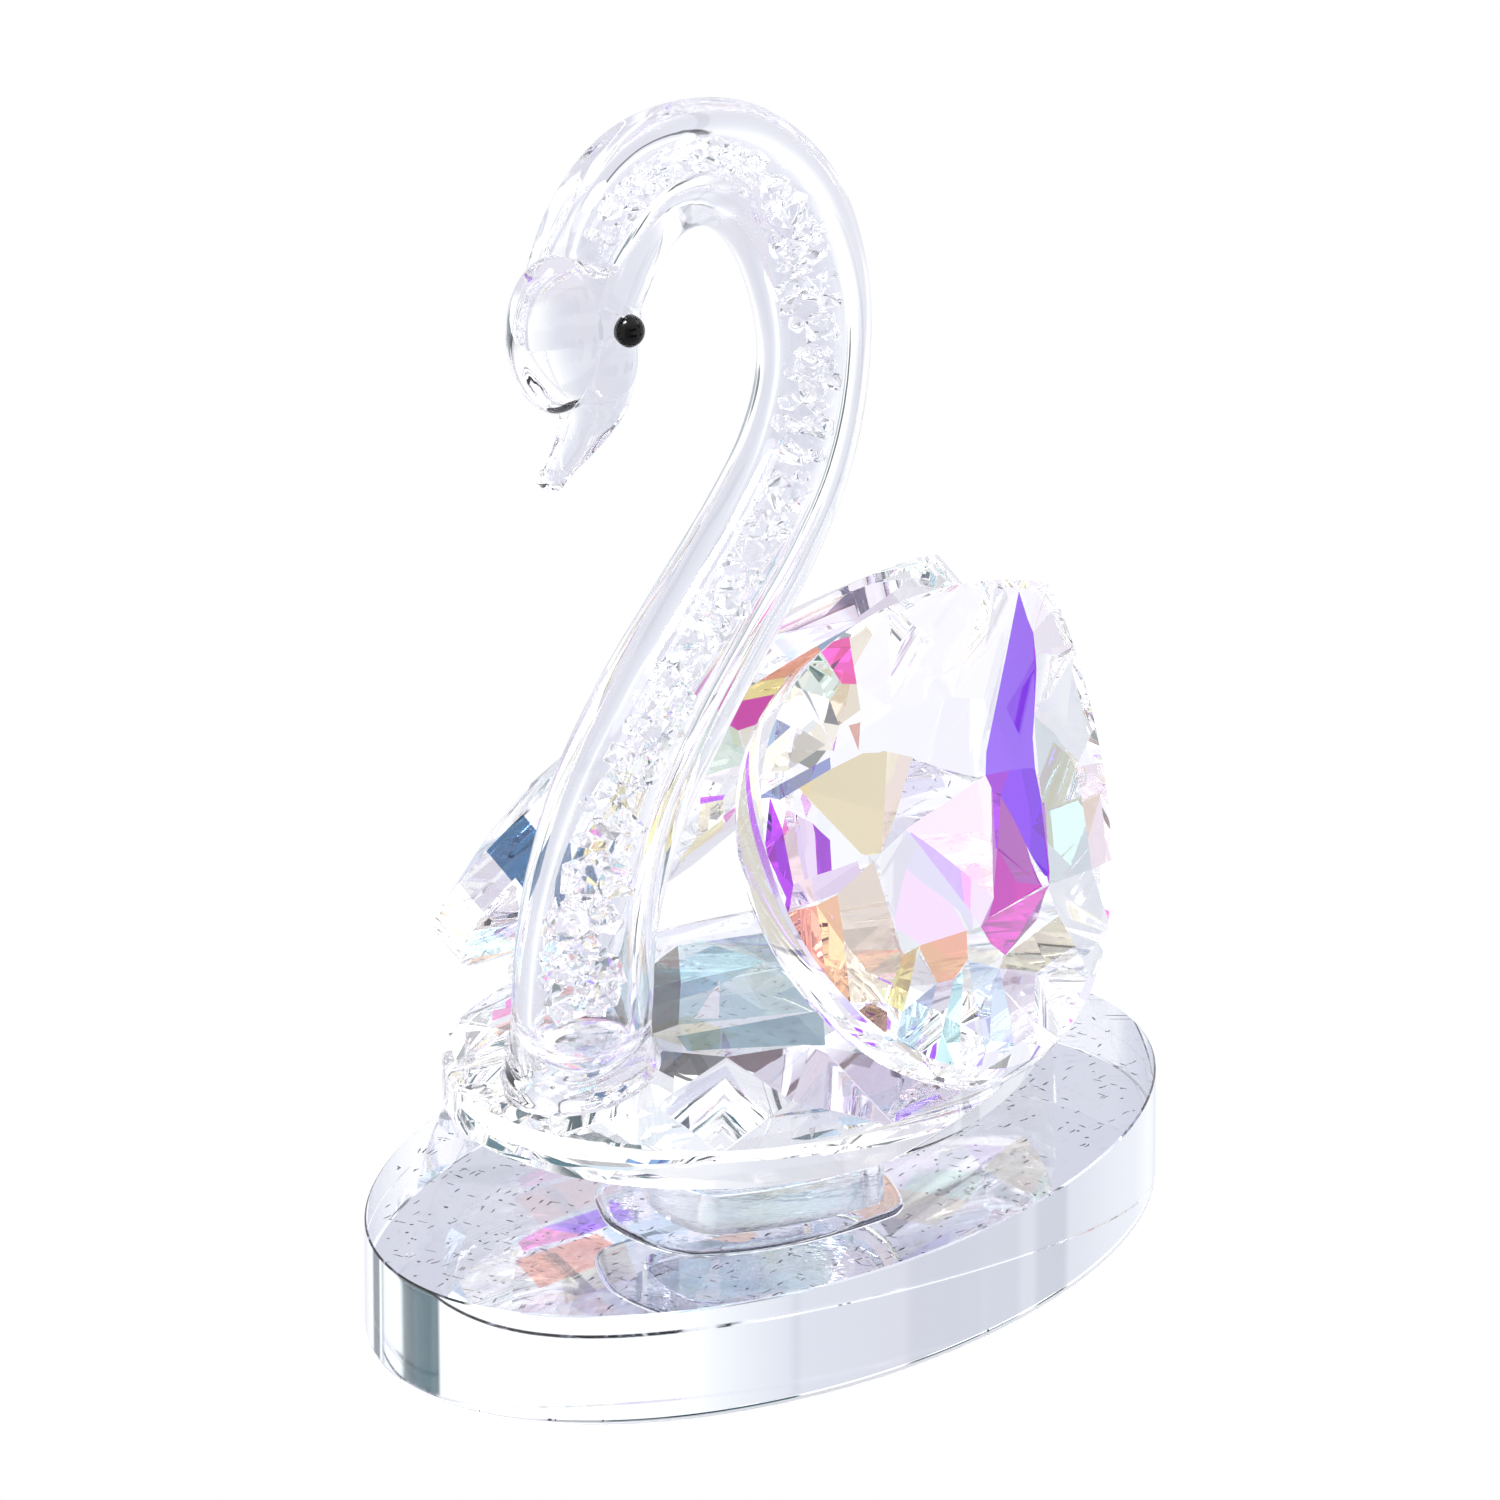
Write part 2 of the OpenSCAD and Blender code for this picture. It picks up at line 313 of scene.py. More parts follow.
oval_plate("base_pad_sheet", "base_pad", 0.0, PAD_TOP, 0.1, 0.1, PAD)
oval_plate("mirror_film_sheet", "mirror_backing", PAD_TOP, GLASS_FOOT + SINK, 0.05, 0.05, MIRROR)
oval_plate("base_glass_slab", "base_glass", GLASS_FOOT, BASE_TOP, 0.05, 0.18, BASE_GLASS)


# -------- pedestal and its glue
def node_centre(node):
    low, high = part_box(node)
    return (low + high) / 2 / MM


BLOCK_LENGTH, BLOCK_WIDTH, BLOCK_CORNER = 23.0, 17.0, 6.0
BLOCK_TURN = math.radians(-28)
BLOCK_SIDES = 144
# Larger values give shorter, tighter corners.
CORNER_SPREAD = 1.7
BLOCK_EDGE = 0.12
PUDDLE_MARGIN = 3.9
PUDDLE_WAVE = 1.2
PUDDLE_EDGE = 1.2
PUDDLE_SHIFT = Vector((-1.5, 0.6, 0))
GLUE_MARGIN = -0.5
GLUE_EDGE = 0.05
block_low, block_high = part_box("pedestal")
block_foot, block_top = block_low.z / MM, block_high.z / MM
glue_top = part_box("body_glue")[1].z / MM
block_mid = node_centre("pedestal")


def block_ring(length, width, corner, z, centre, wobble):
    """Rounded rectangle turned about the vertical, its edge waved by a slow noise."""
    ring = []
    for a in circle(BLOCK_SIDES):
        way = Vector((math.cos(a), math.sin(a)))
        flat = Vector([max(-1.0, min(1.0, CORNER_SPREAD * w)) for w in way])
        spot = Vector((flat.x * (length / 2 - corner), flat.y * (width / 2 - corner))) + way * corner
        wave = wobble * noise.noise(Vector((1.1 * way.x, 1.1 * way.y, 2.0)))
        ring.append(spot + way * wave)
    c, s = math.cos(BLOCK_TURN), math.sin(BLOCK_TURN)
    return [(centre[0] + p.x * c - p.y * s, centre[1] + p.x * s + p.y * c, z) for p in ring]


def chamfered(low, high, chamfer):
    return [(chamfer, low), (0, low + chamfer), (0, high - chamfer), (chamfer, high)]


def rounded(low, high, run):
    """Levels of an edge that curves inward by run as it rises."""
    turns = [math.radians(a) for a in (0, 22.5, 45, 67.5, 90)]
    return [(run * (1 - math.cos(a)), low + (high - low) * math.sin(a)) for a in turns]


def block(name, node, levels, material, grow=0.0, wobble=0.0, shift=Vector((0, 0, 0))):
    """A body on the block's outline, grown by a margin; levels are (inset, height)."""
    length, width, corner = BLOCK_LENGTH + 2 * grow, BLOCK_WIDTH + 2 * grow, BLOCK_CORNER + grow
    rings = [
        block_ring(length - 2 * inset, width - 2 * inset, corner - inset, z, block_mid + shift, wobble)
        for inset, z in levels
    ]
    points, faces = stacked_rings(rings)
    made = piece(name, points, faces, [material], [node], smooth=True)
    sharp_edges(made, 30)


block("pedestal_block", "pedestal", chamfered(block_foot, block_top, BLOCK_EDGE), BASE_GLASS)
block(
    "pedestal_glue_puddle", "pedestal_glue", rounded(BASE_TOP - SINK, block_foot + SINK, PUDDLE_EDGE),
    GLUE, PUDDLE_MARGIN, PUDDLE_WAVE, PUDDLE_SHIFT,
)
block(
    "body_glue_layer", "body_glue", chamfered(block_top - SINK, glue_top + SINK, GLUE_EDGE),
    GLUE, GLUE_MARGIN,
)


# -------- faceted almonds
TIP_SHARP = 0.68
RIM_SIDES = 120
FACETS = 12
# Height of the plain band round a stone.
GIRDLE = 4.0


class Almond:
    """Outline of an almond stone: tip along +u, round end along -u."""

    def __init__(self, length, width):
        self.length, self.width = length, width
        # The widest place along the outline, and how wide the plain curve is there.
        self.heart = -length / 2 * TIP_SHARP / (2 + TIP_SHARP)
        self.peak = self.swell(math.acos(-TIP_SHARP / (2 + TIP_SHARP)))

    @staticmethod
    def swell(a):
        return math.sin(a) * abs(math.sin(a / 2)) ** TIP_SHARP

    def at(self, degrees):
        a = math.radians(degrees)
        return (self.length / 2 * math.cos(a), self.width / 2 * self.swell(a) / self.peak)

    def inside(self, u, v):
        half = self.length / 2
        return abs(u) <= half and abs(v) <= self.width / 2 * self.swell(math.acos(u / half)) / self.peak

    def share(self, u, v):
        """0 at the heart, 1 on the outline; found by halving."""
        low, high = 0.0, 1.6
        for _ in range(22):
            mid = (low + high) / 2
            if self.inside(self.heart + (u - self.heart) / mid, v / mid):
                high = mid
            else:
                low = mid
        return high

    def scaled(self, degrees, scale):
        u, v = self.at(degrees)
        return (self.heart + (u - self.heart) * scale, v * scale)

    def outline(self):
        return [self.at(360 * i / RIM_SIDES) for i in range(RIM_SIDES)]


def ring_facets(almond, table, middle, kinds):
    """Table, star, kite and rim facets, as (points, kind), the later painted over the earlier."""
    step = 360 / FACETS

    def spot(place, scale):
        return almond.scaled(step * place, scale)

    def kind(row, i):
        names = kinds[row].split()
        return names[i % len(names)]

    heart = (almond.heart, 0.0)
    found = []
    for i in range(FACETS):
        found.append(([heart, spot(i, 1.3), spot(i + 0.5, 1.35), spot(i + 1, 1.3)], kind("rim", i)))
    for i in range(FACETS):
        corners = [spot(i, table), spot(i - 0.5, middle), spot(i, 1.02), spot(i + 0.5, middle)]
        found.append((corners, kind("kite", i)))
    for i in range(FACETS):
        found.append(([spot(i, table), spot(i + 0.5, middle), spot(i + 1, table)], kind("star", i)))
    found.append(([spot(i, table) for i in range(FACETS)], "clear"))
    return found


# The heights of a stone's corners come from repeated plane fits, pulled a little to a smooth dome.
FIT_ROUNDS = 80
FIT_SHARE, DOME_SHARE = 0.92, 0.08
ON_THE_RIM = 0.995


# The triangulation's output type that keeps only what is inside the outlines.
INSIDE_ONLY = 1


def painted(rim, facets):
    """Triangles inside the outline, each owned by the last facet over it, or by 0 where there is none."""
    points = [Vector(p) for p in rim]
    polygons = [list(range(len(rim)))]
    for corners, _ in facets:
        start = len(points)
        inside = [Vector(c) for c in corners]
        points += inside
        area = sum(a.x * b.y - a.y * b.x for a, b in zip(inside, inside[1:] + inside[:1]))
        order = range(start, start + len(inside))
        polygons.append(list(order) if area > 0 else list(reversed(order)))
    verts, _, tris, _, _, owners_in = delaunay_2d_cdt(points, [], polygons, INSIDE_ONLY, 1e-5)
    faces, owners = [], []
    for tri, owning in zip(tris, owners_in):
        if 0 in owning:
            faces.append(tuple(tri))
            owners.append(max(owning))
    used = sorted({i for tri in faces for i in tri})
    index = {old: new for new, old in enumerate(used)}
    flat = [verts[i] for i in used]
    return flat, [tuple(index[i] for i in tri) for tri in faces], owners


def lifted(almond, flat, faces, owners, height, power):
    """Heights of a face's points, so that each facet is nearly flat and the whole is a dome."""
    shares = [almond.share(p.x, p.y) for p in flat]
    dome = [height * max(0.0, 1 - s**power) for s in shares]
    fixed = [s > ON_THE_RIM for s in shares]
    lift = [0.0 if f else d for f, d in zip(fixed, dome)]
    groups = {}
    for tri, owner in zip(faces, owners):
        groups.setdefault(owner, set()).update(tri)
    for _ in range(FIT_ROUNDS):
        total = [0.0] * len(flat)
        count = [0] * len(flat)
        for members in groups.values():
            fit = plane_fit([(flat[i].x, flat[i].y, lift[i]) for i in members])
            for i in members:
                total[i] += fit[0] * flat[i].x + fit[1] * flat[i].y + fit[2]
                count[i] += 1
        for i in range(len(flat)):
            if not fixed[i] and count[i]:
                lift[i] = min(height, FIT_SHARE * total[i] / count[i] + DOME_SHARE * dome[i])
    return lift


def cap(almond, facets, height, power, side):
    """One faceted face of a stone: points, triangles, and a kind and a normal for each triangle."""
    rim = almond.outline()
    flat, faces, owners = painted(rim, facets)
    lift = lifted(almond, flat, faces, owners, height, power)
    solid = [Vector((p.x, p.y, side * z)) for p, z in zip(flat, lift)]
    if side < 0:
        faces = [tuple(reversed(tri)) for tri in faces]
    normals = {}
    for tri, owner in zip(faces, owners):
        a, b, c = (solid[i] for i in tri)
        normals[owner] = normals.get(owner, Vector((0, 0, 0))) + (b - a).cross(c - a)
    normals = {owner: n.normalized() for owner, n in normals.items()}
    kinds = [facets[o - 1][1] if o > 0 else "clear" for o in owners]
    rim_index = [min(range(len(flat)), key=lambda i: (flat[i] - Vector(p)).length_squared) for p in rim]
    return solid, faces, kinds, [normals[o] for o in owners], rim_index


def plane_fit(points):
    """The plane z = ax + by + c nearest to some points, as (a, b, c)."""
    n = len(points)
    mx = sum(p[0] for p in points) / n
    my = sum(p[1] for p in points) / n
    mz = sum(p[2] for p in points) / n
    xx = xy = yy = xz = yz = 0.0
    for x, y, z in points:
        x, y, z = x - mx, y - my, z - mz
        xx, xy, yy, xz, yz = xx + x * x, xy + x * y, yy + y * y, xz + x * z, yz + y * z
    det = xx * yy - xy * xy
    if abs(det) < 1e-9:
        return (0.0, 0.0, mz)
    a = (xz * yy - yz * xy) / det
    b = (yz * xx - xz * xy) / det
    return (a, b, mz - a * mx - b * my)


def stone(name, node, almond, crown, pavilion, place, mirrored=False, edge=()):
    """A stone: crown and pavilion are (facets, height, power), edge is the girdle's tints by degrees."""
    points, faces, kinds, normals = [], [], [], []
    rims = []
    for (facets, height, power), side in ((crown, 1), (pavilion, -1)):
        solid, tris, kind, normal, rim = cap(almond, facets, height, power, side)
        start = len(points)
        points += [p + Vector((0, 0, side * GIRDLE / 2)) for p in solid]
        faces += [tuple(i + start for i in tri) for tri in tris]
        kinds += kind
        normals += [[n] * 3 for n in normal]
        rims.append([i + start for i in rim])
    outline = almond.outline()
    outward = []
    for i in range(RIM_SIDES):
        before, after = Vector(outline[i - 1]), Vector(outline[(i + 1) % RIM_SIDES])
        along = after - before
        outward.append(Vector((along.y, -along.x, 0)).normalized())
    for i in range(RIM_SIDES):
        n = (i + 1) % RIM_SIDES
        faces.append((rims[1][i], rims[1][n], rims[0][n], rims[0][i]))
        around = 360 * (i + 0.5) / RIM_SIDES
        kinds.append(next((kind for start, end, kind in edge if start <= around < end), "clear"))
        normals.append([outward[i], outward[n], outward[n], outward[i]])
    flip = Matrix.Scale(-1, 4, Vector((0, 1, 0))) if mirrored else Matrix.Identity(4)
    whole = flip @ place
    turn = whole.to_3x3()
    points = [whole @ p for p in points]
    normals = [[(turn @ n).normalized() for n in row] for row in normals]
    if mirrored:
        faces = [tuple(reversed(f)) for f in faces]
        normals = [list(reversed(row)) for row in normals]
    used = sorted(set(kinds))
    piece(
        name, points, faces, [COATED[k] for k in used], [node],
        face_materials=[used.index(k) for k in kinds],
        normals=[n for row in normals for n in row],
    )


def turned(degrees, axis):
    return Matrix.Rotation(math.radians(degrees), 4, axis)


WING = Almond(68.0, 43.0)
WING_CENTRE = Vector((10.2, -14.8, 35.3 + BASE_TOP))
WING_PLACE = Matrix.Translation(WING_CENTRE) @ turned(17, "Z") @ turned(-19.5, "Y") @ turned(47, "X")
# The right wing is the left one mirrored, and stands this much further back.
RIGHT_WING_SHIFT = Matrix.Translation((1.0, 0, 0))
WING_KINDS = {
    "rim": "clear clear pink clear clear sky clear clear pearl clear pink pearl",
    "kite": "clear cream clear clear pink clear green clear pearl clear pearl clear",
    "star": "clear clear pink clear clear pearl clear",
}
WING_BACK = {
    "rim": "clear clear pink clear yellow clear clear sky clear",
    "kite": "clear clear clear clear cream clear",
    "star": "clear",
}
# Facets of the left wing's outer face, corners in its own length and width. The dark, steel and grey ones
# are painted shade.
LEFT_FACETS = [
    ([(34, 3), (28.5, 3.5), (18, 4), (3.5, 5.5), (-2.5, 13.5), (7.5, 17), (20, 11.5)], "lavender"),
    ([(26, 9), (10, 18.5), (7.5, 17), (20, 11.5)], "beige"),
    ([(29, 3), (13.5, 2.5), (1.5, 7.5), (-1, 10), (7.5, 7), (18, 4)], "pink"),
    ([(29, 3), (2, -0.5), (-4.5, 10.5), (-1, 10), (1.5, 7.5), (13.5, 2.5)], "white"),
    ([(-4.5, 10.5), (2, -0.5), (-13, 5.5), (-17, 6.5), (-4, 10)], "white"),
    ([(29.5, 3), (25.5, 0), (8.5, -5.5), (4.5, -2.5), (2, -0.5)], "violet"),
    ([(25.5, 0), (16.5, -3), (6, -8), (8.5, -5.5)], "purple"),
    ([(4.5, -2.5), (8.5, -5.5), (-2, -11.5), (-1, -8), (0, -2.5)], "violet"),
    ([(6, -8), (8.5, -5.5), (-2, -11.5), (-3, -12)], "purple"),
    ([(2, -0.5), (4.5, -2.5), (0, -2.5), (-7, -4), (0, -1)], "purple"),
    ([(0, -2.5), (-1, -8), (-3.5, -11.5), (-7.5, -8), (-7, -4)], "plum"),
    ([(-7, -4), (-7.5, -8), (-3.5, -11.5), (-13.5, -7)], "magenta"),
    ([(0, -1), (-7, -4), (-13.5, -7), (-15.5, -6.5), (-12.5, -6)], "mauve"),
    ([(-3, -12), (-15.5, -10.5), (-15.5, -6.5), (-13.5, -7)], "magenta"),
    ([(-3, -12), (-7.5, -12.5), (-15.5, -10.5)], "plum"),
    ([(2, -0.5), (0, -1), (-12.5, -6), (-13, 5.5)], "pink"),
    ([(-13, 5.5), (-12.5, -6), (-15.5, -6.5), (-15, -3)], "lilac"),
    ([(16.5, -3), (14, -10), (4, -16), (-3, -12), (6, -8)], "pearl"),
    ([(25.5, 0), (34, -2), (24, -11), (14, -10), (16.5, -3)], "clear"),
    ([(4, -16), (10, -19), (20, -14), (14, -10)], "pink"),
    ([(-16, 17), (-6, 12), (-4, 10), (-17, 6.5), (-18, 8)], "beige"),
    ([(-4, 10), (-3, 7.5), (-17, 6.5)], "cream"),
    ([(-19.5, 19), (-22, 16.5), (-27, 13), (-30, 12), (-25, 17)], "purple"),
    ([(-19, 14), (-19, 11.5), (-22.5, 10), (-25, 11)], "purple"),
    ([(-19.5, 17), (-19, 14), (-25, 11), (-27, 13), (-22, 16.5)], "lilac"),
    ([(-30, 12), (-27, 13), (-19, 8), (-21, 6.5)], "lilac"),
    ([(-30, 12), (-27.5, 10), (-36, 3.5), (-36, 6)], "salmon"),
    ([(-27.5, 10), (-24.5, 8.5), (-34, 2), (-36, 3.5)], "orange"),
    ([(-24.5, 8.5), (-17.5, 6.5), (-25, -0.5), (-31.5, -1), (-34, 2)], "cream"),
    ([(-17, 6.5), (-13, 5.5), (-15, -3), (-15.5, -6.5), (-17, -5.5), (-25, -0.5)], "white"),
    ([(-23, -1.5), (-17, -5.5), (-19.5, -7), (-23, -6.5), (-25, -5)], "orange"),
    ([(-31.5, -1), (-25, -0.5), (-23, -1.5), (-27.5, -2.5), (-31, -3)], "yellow"),
    ([(-36.5, 2), (-33, 0.5), (-32.5, -1.5), (-34, -3)], "brown"),
    ([(-31, -3), (-25, -5), (-34, -6.5), (-35, -4.5)], "sky"),
    ([(-25, -5), (-23, -6.5), (-33, -9), (-34, -6.5)], "pearl"),
    ([(-23, -6.5), (-21, -7), (-30.5, -11), (-33, -9)], "cyan"),
    ([(-21, -7), (-19.5, -7), (-27.5, -13), (-30.5, -11)], "white"),
    ([(-19.5, -7), (-17.5, -10.5), (-24, -15.5), (-27.5, -13)], "sky"),
    ([(-17.5, -10.5), (-14, -14.5), (-20.5, -17), (-24, -15.5)], "lavender"),
    ([(-15.5, -10.5), (-5, -14.5), (-6.5, -17.5), (-14, -14.5), (-17.5, -10.5)], "cream"),
    ([(-5, -14.5), (-3, -12), (4, -16), (0, -22), (-8, -21)], "clear"),
    ([(-20, 20), (-9.5, 15), (-11, 14.5), (-19, 18)], "blue"),
    ([(3.5, 20.5), (7, 18), (1.5, 15.5), (0, 17)], "hot_pink"),
    ([(-4, 22), (3.5, 20.5), (0, 17), (-3, 17.5)], "green"),
    ([(0, 17), (1.5, 15.5), (-1, 14), (-5, 15.5), (-3, 17.5)], "cream"),
    # A dark facet: painted shade.
    ([(-6, 17), (-3, 17.5), (-5, 15.5)], "dark"),
    ([(-4, 14.5), (-2.5, 13.5), (-6, 12.5)], "brown"),
    # Steel and grey facets: painted shade.
    ([(-16.5, 22), (-9.5, 20), (-9, 22.5)], "steel"),
    ([(-15, 18.5), (-8.5, 16), (-9, 19.5)], "grey"),
]
# Facets of the right wing's inner face. The steel, navy and grey ones are painted shade.
RIGHT_BACK_FACETS = [
    ([(-3, 22), (7, 19.5), (8.5, 16.5), (2.5, 18.5)], "salmon"),
    ([(-5, 21), (-3, 22), (2.5, 18.5), (2, 17)], "yellow"),
    ([(-7, 20.5), (-5, 21), (2, 17), (1, 14.5), (-4.5, 17)], "magenta"),
    ([(8.5, 16.5), (7, 19.5), (14, 17), (15, 13.5)], "steel"),
    ([(15, 13.5), (14, 17), (21, 12.5), (20, 10)], "sky"),
    ([(-12, 20), (-7, 20.5), (-4.5, 17), (-3.5, 12), (-10.5, 15)], "green"),
    ([(-10.5, 15), (-3.5, 12), (-6.5, 9.5), (-10, 12)], "pearl"),
    ([(-10, 12), (-6.5, 9.5), (-6.5, 8.5), (-10, 11)], "purple"),
    ([(-10, 11), (-6.5, 8.5), (-4.5, 2), (-8, 1)], "cream"),
    ([(-5, 3), (-2, 2), (-3, -1.5)], "magenta"),
    ([(-8, 1), (-4.5, 2), (-3, -3), (-9, -4)], "yellow"),
    # Navy and grey facets: painted shade.
    ([(-24, 18), (-27, 15), (-31, 11.5), (-29.5, 8), (-26, 11)], "navy"),
    ([(-31, 10), (-29.5, 8), (-29, 2), (-33.5, 2), (-34, 6)], "grey"),
    ([(-29, 2), (-33.5, 2), (-34, -3), (-31, -8), (-26, -8)], "cyan"),
    ([(-30, -12), (-26, -8), (-31, -8)], "orange"),
]
# Tints of the right wing's edge, degrees along its outline. The navy and grey stretches are painted shade.
RIGHT_EDGE = [(52, 66, "lavender"), (66, 84, "sky"), (143, 156, "navy"), (156, 168, "grey")]
# Facets of a face, its height, and the power of its dome.
wing_crown = (ring_facets(WING, 0.5, 0.78, WING_KINDS) + LEFT_FACETS, 5.2, 2.4)
far_crown = (ring_facets(WING, 0.6, 0.82, WING_KINDS), 5.2, 2.4)
wing_pavilion = (ring_facets(WING, 0.62, 0.83, WING_BACK), 6.0, 2.6)
far_pavilion = (ring_facets(WING, 0.5, 0.8, WING_BACK) + RIGHT_BACK_FACETS, 6.0, 2.2)
stone("wing_left_stone", "wing_left", WING, wing_crown, wing_pavilion, WING_PLACE)
stone(
    "wing_right_stone", "wing_right", WING, far_crown, far_pavilion, RIGHT_WING_SHIFT @ WING_PLACE,
    mirrored=True, edge=RIGHT_EDGE,
)

BODY = Almond(84.0, 54.0)
BODY_UNDER_DEPTH = 3.6
body_low, body_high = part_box("body_crystal")
BODY_MID_X = (body_low.x + body_high.x) / 2 / MM
BODY_PLACE = Matrix.Translation((BODY_MID_X, 0, body_low.z / MM + BODY_UNDER_DEPTH + GIRDLE / 2))
BODY_KINDS = {
    "rim": "clear clear lavender clear clear pearl",
    "kite": "clear lavender clear clear pearl clear clear",
    "star": "clear lavender clear",
}
BODY_BACK = {
    "rim": "clear cream clear clear sky clear hot_pink pearl orange clear green cream",
    "kite": "clear clear clear sky clear clear pink salmon blue lilac clear cream",
    "star": "clear sky clear clear clear clear pink clear violet cyan clear lilac",
}
# Facets seen in front of the wings, corners in x and y of the assembly. The teal, mid_teal and deep_teal
# ones are painted shade: the dark teal surroundings seen through the body, put in as tints of its glass.
BODY_WINDOW = [
    ([(-5.5, 11.5), (4.5, 13.5), (-4.5, 7), (-14.5, 0.5), (-18.5, 1.5)], "deep_teal"),
    ([(4.5, 13.5), (15, 6), (8, -5), (-3, -9), (-14.5, 0.5), (-4.5, 7)], "teal"),
    ([(-2, 4), (-11, -2), (-12.5, 0)], "pearl"),
    ([(-17, -1), (-3, -9), (-10, -14), (-19.5, -4)], "mid_teal"),
]
# Coloured facets of the underside, seen in the mirror.
BODY_UNDER = [
    ([(-24, 2), (-14, 0), (-12, 7), (-22, 9)], "lavender"),
    ([(-22, 9), (-12, 7), (-8, 11), (-17, 13)], "cream"),
    ([(-20, 13.5), (-8, 11), (-5, 17), (-15, 20)], "salmon"),
    ([(-6, 18), (2, 16), (5, 22), (-3, 25)], "violet"),
    ([(-12, 21), (-6, 18), (-3, 25), (-8, 24.5)], "hot_pink"),
    ([(-8, 11), (2, 8), (4, 15), (-4, 17)], "sky"),
    ([(2, 8), (12, 8), (13, 15), (4, 15)], "cyan"),
    ([(-12, 0), (-6, -1), (-5, 6), (-11, 7)], "cream"),
    ([(16, -10), (24, -9), (22, -2), (15, -3)], "cream"),
    ([(24, -9), (31, -6), (28, 0), (22, -2)], "green"),
    ([(15, -3), (22, -2), (19, 5), (13, 4)], "orange"),
]


def on_body(facets):
    """Moves facets from the assembly's frame to the body stone's own."""
    return [([(x - BODY_MID_X, y) for x, y in corners], kind) for corners, kind in facets]


body_crown = (ring_facets(BODY, 0.5, 0.78, BODY_KINDS) + on_body(BODY_WINDOW), 4.6, 2.4)
body_under = (ring_facets(BODY, 0.8, 0.92, BODY_BACK) + on_body(BODY_UNDER), BODY_UNDER_DEPTH, 3.6)
stone("body_stone", "body_crystal", BODY, body_crown, body_under, BODY_PLACE)


# -------- neck, head and beak
# How far the neck's foot stands to the side; it comes back to the middle as it rises.
NECK_SIDE = 3.5
# x, share of the side offset, height above the base, outer radius, bore radius
NECK = [
    (-27.4, 1.0, 11.8, 7.0, 5.0),
    (-27.2, 0.95, 22.2, 7.0, 5.0),
    (-26.9, 0.75, 32.1, 6.9, 4.5),
    (-23.6, 0.45, 42.4, 6.9, 3.9),
    (-17.2, 0.2, 50.8, 6.8, 3.6),
    (-8.9, 0.05, 58.2, 6.5, 3.5),
    (-1.0, 0.0, 64.5, 6.2, 3.5),
    (5.4, 0.0, 71.2, 5.8, 3.4),
    (8.5, 0.0, 79.1, 5.6, 3.3),
    (7.8, 0.0, 87.9, 6.0, 3.4),
    (3.2, 0.0, 97.0, 6.4, 3.0),
    (-4.5, 0.0, 103.5, 6.4, 2.6),
    (-13.2, 0.0, 106.5, 6.2, 2.4),
    (-21.4, 0.0, 106.5, 6.2, 2.3),
    (-28.0, 0.0, 103.0, 6.1, 2.2),
    (-32.4, 0.0, 97.0, 5.8, 1.2),
]
NECK_RINGS, NECK_SIDES = 180, 64
# Ends of the bore, as places along the list above.
BORE_START, BORE_END = 0.9, 14.3
BORE_RINGS = 160


def spline(rows, u):
    """A smooth curve through rows of numbers; u counts the rows."""
    i = max(0, min(len(rows) - 2, int(math.floor(u))))
    t = u - i
    a, b, c, d = (rows[max(0, min(len(rows) - 1, k))] for k in (i - 1, i, i + 1, i + 2))
    return [
        0.5 * (2 * q + (r - p) * t + (2 * p - 5 * q + 4 * r - s) * t * t + (3 * q - p - 3 * r + s) * t**3)
        for p, q, r, s in zip(a, b, c, d)
    ]


def neck_place(u):
    """Centre, outer radius and bore radius of the neck."""
    row = spline(NECK, u)
    return Vector((row[0], row[1] * NECK_SIDE, BASE_TOP + row[2])), row[3], row[4]


def sweep(places, sides):
    """Rings round a path of (point, radius), kept in step along it."""
    rings = []
    for k, (centre, radius) in enumerate(places):
        before = places[max(0, k - 1)][0]
        after = places[min(len(places) - 1, k + 1)][0]
        along = (after - before).normalized()
        across = Vector((0, 1, 0)).cross(along).normalized()
        side = along.cross(across).normalized()
        rings.append([
            centre + across * (radius * math.cos(a)) + side * (radius * math.sin(a)) for a in circle(sides)
        ])
    return rings


def ball(centre, radii, sides=48, rows=24):
    rings = []
    for k in range(1, rows):
        a = math.pi * k / rows
        rings.append([
            (
                centre[0] + radii[0] * math.sin(a) * math.cos(b),
                centre[1] + radii[1] * math.sin(a) * math.sin(b),
                centre[2] - radii[2] * math.cos(a),
            )
            for b in circle(sides)
        ])
    points, faces = stacked_rings(rings, closed=False)
    bottom, top = len(points), len(points) + 1
    points += [(centre[0], centre[1], centre[2] - radii[2]), (centre[0], centre[1], centre[2] + radii[2])]
    last = (rows - 2) * sides
    for j in range(sides):
        n = (j + 1) % sides
        faces.append((bottom, n, j))
        faces.append((last + j, last + n, top))
    return points, faces


DOME_RINGS = 8


def dome(end, way, steps):
    """Places of a half ball beyond the end of a tube."""
    point, radius = end
    turns = [math.pi / 2 * k / DOME_RINGS for k in steps]
    return [(point + way * radius * math.sin(a), radius * math.cos(a)) for a in turns]


def rounded_tube(path, sides=48):
    """A closed tube with round ends, as one mesh; path is (point, radius)."""
    first = (path[1][0] - path[0][0]).normalized()
    final = (path[-1][0] - path[-2][0]).normalized()
    head = dome(path[0], -first, range(DOME_RINGS - 1, 0, -1))
    tail = dome(path[-1], final, range(1, DOME_RINGS))
    return stacked_rings(sweep(head + path + tail, sides))


def smooth_path(rows, steps):
    """(point, radius) along a curve through rows of x, y, z and radius."""
    count = (len(rows) - 1) * steps
    along = [spline(rows, (len(rows) - 1) * k / count) for k in range(count + 1)]
    return [(Vector(row[:3]), row[3]) for row in along]


def above_base(x, y, z):
    return Vector((x, y, z + BASE_TOP))


